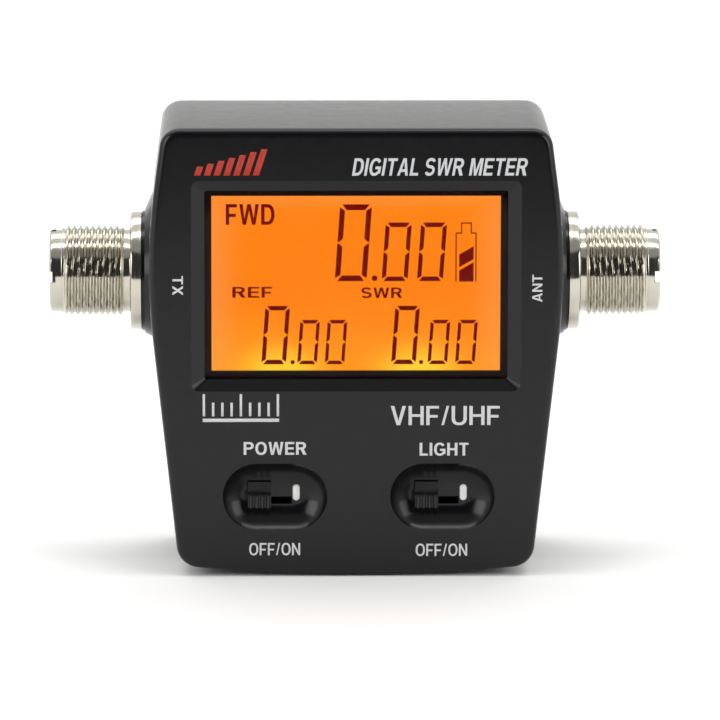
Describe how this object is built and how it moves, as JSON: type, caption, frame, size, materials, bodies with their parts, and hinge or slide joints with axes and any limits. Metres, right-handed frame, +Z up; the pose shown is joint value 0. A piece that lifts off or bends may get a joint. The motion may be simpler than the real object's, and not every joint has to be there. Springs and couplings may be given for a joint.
{
  "type": "swr meter",
  "caption": "Wedge-sided handheld radio power and SWR meter with an amber back-lit display, slide switches, side coaxial jacks and a rear battery door.",
  "frame": {"origin": "under the middle of the case, at the lowest point of its curved bottom edge and half way through its depth", "axes": "+X to the antenna jack, seen from the front on the right; -Y out of the display face; +Z up"},
  "size_m": [0.1064, 0.035, 0.0785],
  "materials": {
    "case_plastic": "moulded black, semi-gloss with a very fine texture",
    "black_screw": "blackened steel",
    "label_foil": "brushed blank foil",
    "clear_window": "clear polished acrylic",
    "lcd_glass": "glowing amber display",
    "lcd_ink": "dark display segments",
    "lcd_border": "dark display margin",
    "legend_ink": "white printed legends",
    "accent_ink": "red printed emblem",
    "diffuser_film": "satin film",
    "guide_acrylic": "amber acrylic",
    "holder_plastic": "moulded black, satin",
    "connector_rubber": "striped elastomer",
    "led_resin": "clear resin",
    "board_laminate": "green solder mask",
    "zinc_screw": "zinc plated",
    "chip_epoxy": "moulded epoxy",
    "crystal_can": "drawn steel can",
    "capacitor_can": "bare can",
    "trimmer_plastic": "blue moulding",
    "gold_pin": "gold plated",
    "switch_housing": "moulded black, matt",
    "knob_plastic": "moulded black, satin",
    "marker_plastic": "white moulding",
    "tin_plate": "bright tin plate",
    "line_brass": "turned brass",
    "resistor_ceramic": "thick film",
    "cell_wrap": "printed blank sleeve",
    "spring_steel": "nickel plated spring wire",
    "contact_steel": "nickel plated strip",
    "red_sleeve": "wire insulation",
    "black_sleeve": "wire insulation",
    "nickel_plate": "bright nickel plate on brass",
    "insulator_plastic": "turned white insulator",
    "contact_plate": "plated contact"
  },
  "bodies": {
    "housing": {"front_case": "case_plastic", "rear_cover": "case_plastic", "case_screws": "black_screw", "rear_label": "label_foil", "display_window": "clear_window", "lcd_panel": "lcd_glass", "diffuser_sheet": "diffuser_film", "light_guide": "guide_acrylic", "lcd_holder": "holder_plastic", "lcd_connector": "connector_rubber", "backlight_leds": "led_resin", "main_board": "board_laminate", "board_screws": "zinc_screw", "microcontroller": "chip_epoxy", "amplifier_chip": "chip_epoxy", "voltage_regulator": "chip_epoxy", "quartz_crystal": "crystal_can", "board_capacitors": "capacitor_can", "calibration_trimmers": "trimmer_plastic", "coupler_header": "gold_pin", "power_switch_body": "switch_housing", "power_marker": "marker_plastic", "light_switch_body": "switch_housing", "light_marker": "marker_plastic", "coupler_box": "tin_plate", "coupler_lid": "tin_plate", "coupler_lid_screws": "zinc_screw", "coupler_line": "line_brass", "pickup_board": "board_laminate", "detector_diodes": "chip_epoxy", "load_resistors": "resistor_ceramic", "tx_jack_shell": "nickel_plate", "tx_insulator": "insulator_plastic", "tx_contact": "contact_plate", "tx_washer": "zinc_screw", "tx_nut": "nickel_plate", "ant_jack_shell": "nickel_plate", "ant_insulator": "insulator_plastic", "ant_contact": "contact_plate", "ant_washer": "zinc_screw", "ant_nut": "nickel_plate", "battery_cell_1": "cell_wrap", "battery_cell_2": "cell_wrap", "battery_cell_3": "cell_wrap", "battery_springs": "spring_steel", "battery_contacts": "contact_steel", "positive_lead": "red_sleeve", "negative_lead": "black_sleeve"},
    "power_knob": {"power_knob": "knob_plastic"},
    "light_knob": {"light_knob": "knob_plastic"},
    "battery_door": {"battery_door": "case_plastic"}
  },
  "joints": [
    {"name": "power_slide", "type": "slide", "parent": "housing", "child": "power_knob", "axis": [1, 0, 0], "range_m": [0, 0.0037]},
    {"name": "light_slide", "type": "slide", "parent": "housing", "child": "light_knob", "axis": [1, 0, 0], "range_m": [0, 0.0037]},
    {"name": "door_swing", "type": "hinge", "parent": "housing", "child": "battery_door", "pos_m": [0, 0.0175, 0.03869], "axis": [1, 0, 0], "range_deg": [0, 70]}
  ]
}
